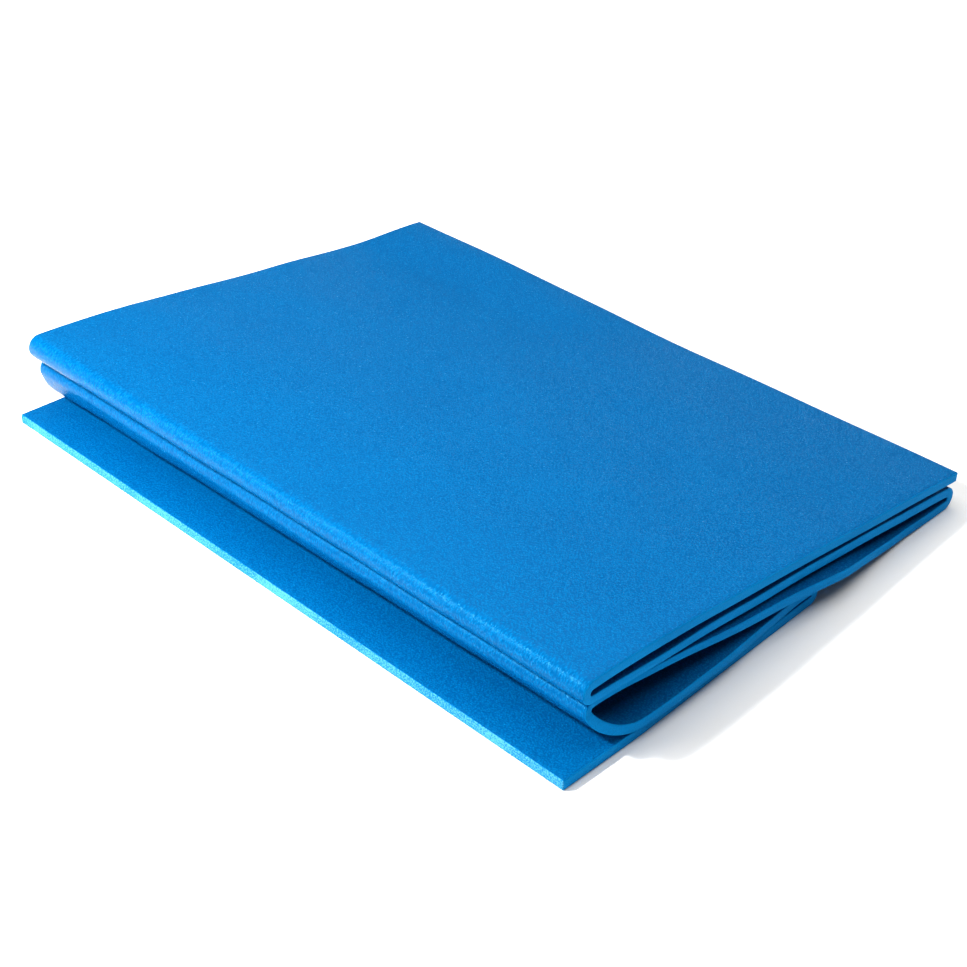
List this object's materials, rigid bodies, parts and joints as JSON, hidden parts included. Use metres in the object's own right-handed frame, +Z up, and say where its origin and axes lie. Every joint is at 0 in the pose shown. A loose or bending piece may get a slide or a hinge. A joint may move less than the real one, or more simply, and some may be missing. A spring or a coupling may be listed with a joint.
{
  "type": "folding gym mat",
  "caption": "Plain foam exercise mat folded zig-zag into a low stack, with a soft bulge at one fold and the lowest free edge standing out as a flap.",
  "frame": {"origin": "middle of the folded mat's footprint, on the floor", "axes": "+Z up, +Y along the folds, +X across them from the flap side towards the fold under the free top edge"},
  "size_m": [0.4534, 0.6, 0.0646],
  "materials": {
    "foam": "matte closed-cell foam with a fine embossed grain"
  },
  "bodies": {
    "panel_5": {"panel_5": "foam"},
    "fold_4": {"fold_4": "foam"},
    "panel_4": {"panel_4": "foam"},
    "fold_3": {"fold_3": "foam"},
    "panel_3": {"panel_3": "foam"},
    "fold_2": {"fold_2": "foam"},
    "panel_2": {"panel_2": "foam"},
    "fold_1": {"fold_1": "foam"},
    "panel_1": {"panel_1": "foam"}
  },
  "joints": [
    {"name": "fold_4_lower_hinge", "type": "hinge", "parent": "panel_5", "child": "fold_4", "pos_m": [0.04238, 0, 0.00489], "axis": [0, 1, 0], "range_deg": [0, 90], "deforming": ["fold_4"]},
    {"name": "fold_4_upper_hinge", "type": "hinge", "parent": "fold_4", "child": "panel_4", "pos_m": [0.04238, 0, 0.01141], "axis": [0, 1, 0], "range_deg": [0, 90], "deforming": ["fold_4"]},
    {"name": "fold_3_curl_hinge", "type": "hinge", "parent": "panel_4", "child": "fold_3", "pos_m": [-0.1794, 0, 0.0163], "axis": [0, -1, 0], "range_deg": [0, 60], "deforming": ["fold_3"]},
    {"name": "fold_3_crease_hinge", "type": "hinge", "parent": "fold_3", "child": "panel_3", "pos_m": [-0.19487, 0, 0.03891], "axis": [0, -1, 0], "range_deg": [0, 125.15], "deforming": ["fold_3"]},
    {"name": "fold_2_lower_hinge", "type": "hinge", "parent": "panel_3", "child": "fold_2", "pos_m": [0.21804, 0, 0.00516], "axis": [0, 1, 0], "range_deg": [0, 90.2], "deforming": ["fold_2"]},
    {"name": "fold_2_upper_hinge", "type": "hinge", "parent": "fold_2", "child": "panel_2", "pos_m": [0.21825, 0, 0.01341], "axis": [0, 1, 0], "range_deg": [0, 90.2], "deforming": ["fold_2"]},
    {"name": "fold_1_lower_hinge", "type": "hinge", "parent": "panel_2", "child": "fold_1", "pos_m": [-0.19782, 0, 0.0502], "axis": [0, -1, 0], "range_deg": [0, 90.08], "deforming": ["fold_1"]},
    {"name": "fold_1_upper_hinge", "type": "hinge", "parent": "fold_1", "child": "panel_1", "pos_m": [-0.1974, 0, 0.05948], "axis": [0, -1, 0], "range_deg": [0, 90.08], "deforming": ["fold_1"]}
  ],
  "couplings": [
    {"joint": "fold_4_lower_hinge", "follows": "fold_3_curl_hinge", "ratio": 1.5},
    {"joint": "fold_4_upper_hinge", "follows": "fold_3_curl_hinge", "ratio": 1.5},
    {"joint": "fold_3_crease_hinge", "follows": "fold_3_curl_hinge", "ratio": 2.0858},
    {"joint": "fold_2_lower_hinge", "follows": "fold_3_curl_hinge", "ratio": 1.5033},
    {"joint": "fold_2_upper_hinge", "follows": "fold_3_curl_hinge", "ratio": 1.5033},
    {"joint": "fold_1_lower_hinge", "follows": "fold_3_curl_hinge", "ratio": 1.5013},
    {"joint": "fold_1_upper_hinge", "follows": "fold_3_curl_hinge", "ratio": 1.5013}
  ]
}
